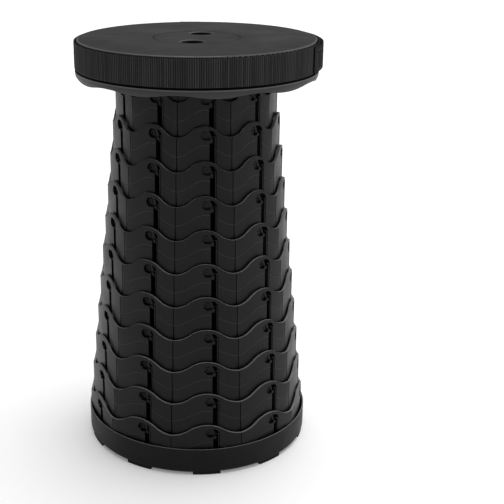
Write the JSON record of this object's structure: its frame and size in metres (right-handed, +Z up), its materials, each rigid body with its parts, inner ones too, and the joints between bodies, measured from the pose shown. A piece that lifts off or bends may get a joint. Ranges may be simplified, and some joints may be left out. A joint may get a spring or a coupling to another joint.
{
  "type": "collapsible telescopic stool",
  "caption": "Round black folding stool: nested faceted rings with wavy edges draw out and lock into a tapered column under a disc seat with finger holes and a webbing strap.",
  "frame": {"origin": "centre of the footprint, on the ground, under the axis of the rings", "axes": "+Z up along the axis of the rings; one facet of every ring faces -Y"},
  "size_m": [0.2583, 0.2592, 0.447],
  "materials": {
    "seat_plastic": "satin, finely textured",
    "ring_plastic": "satin",
    "slider_plastic": "satin",
    "pad_rubber": "matt",
    "webbing": "ribbed woven",
    "screw_steel": "plain"
  },
  "bodies": {
    "base": {"base_ring": "ring_plastic", "base_cup": "ring_plastic", "foot_pads": "pad_rubber"},
    "ring_10": {"ring_10": "ring_plastic"},
    "ring_09": {"ring_09": "ring_plastic"},
    "ring_08": {"ring_08": "ring_plastic"},
    "ring_07": {"ring_07": "ring_plastic"},
    "ring_06": {"ring_06": "ring_plastic"},
    "ring_05": {"ring_05": "ring_plastic"},
    "ring_04": {"ring_04": "ring_plastic"},
    "ring_03": {"ring_03": "ring_plastic"},
    "ring_02": {"ring_02": "ring_plastic"},
    "ring_01": {"ring_01": "ring_plastic"},
    "collar": {"seat_collar": "ring_plastic"},
    "seat": {"seat_cover": "seat_plastic", "centre_cap": "seat_plastic", "seat_frame": "seat_plastic", "seat_screws": "screw_steel", "strap": "webbing", "carry_loop": "webbing", "strap_slider": "slider_plastic"}
  },
  "joints": [
    {"name": "ring_10_slide", "type": "slide", "parent": "base", "child": "ring_10", "axis": [0, 0, 1], "range_m": [-0.03415, 0]},
    {"name": "ring_09_slide", "type": "slide", "parent": "ring_10", "child": "ring_09", "axis": [0, 0, 1], "range_m": [-0.03415, 0]},
    {"name": "ring_08_slide", "type": "slide", "parent": "ring_09", "child": "ring_08", "axis": [0, 0, 1], "range_m": [-0.03415, 0]},
    {"name": "ring_07_slide", "type": "slide", "parent": "ring_08", "child": "ring_07", "axis": [0, 0, 1], "range_m": [-0.03415, 0]},
    {"name": "ring_06_slide", "type": "slide", "parent": "ring_07", "child": "ring_06", "axis": [0, 0, 1], "range_m": [-0.03415, 0]},
    {"name": "ring_05_slide", "type": "slide", "parent": "ring_06", "child": "ring_05", "axis": [0, 0, 1], "range_m": [-0.03415, 0]},
    {"name": "ring_04_slide", "type": "slide", "parent": "ring_05", "child": "ring_04", "axis": [0, 0, 1], "range_m": [-0.03415, 0]},
    {"name": "ring_03_slide", "type": "slide", "parent": "ring_04", "child": "ring_03", "axis": [0, 0, 1], "range_m": [-0.03415, 0]},
    {"name": "ring_02_slide", "type": "slide", "parent": "ring_03", "child": "ring_02", "axis": [0, 0, 1], "range_m": [-0.03415, 0]},
    {"name": "ring_01_slide", "type": "slide", "parent": "ring_02", "child": "ring_01", "axis": [0, 0, 1], "range_m": [-0.03415, 0]},
    {"name": "collar_slide", "type": "slide", "parent": "ring_01", "child": "collar", "axis": [0, 0, 1], "range_m": [-0.03415, 0]},
    {"name": "seat_turn", "type": "hinge", "parent": "collar", "child": "seat", "pos_m": [0, 0, 0.437], "axis": [0, 0, 1], "range_deg": [-4.5, 0]}
  ]
}
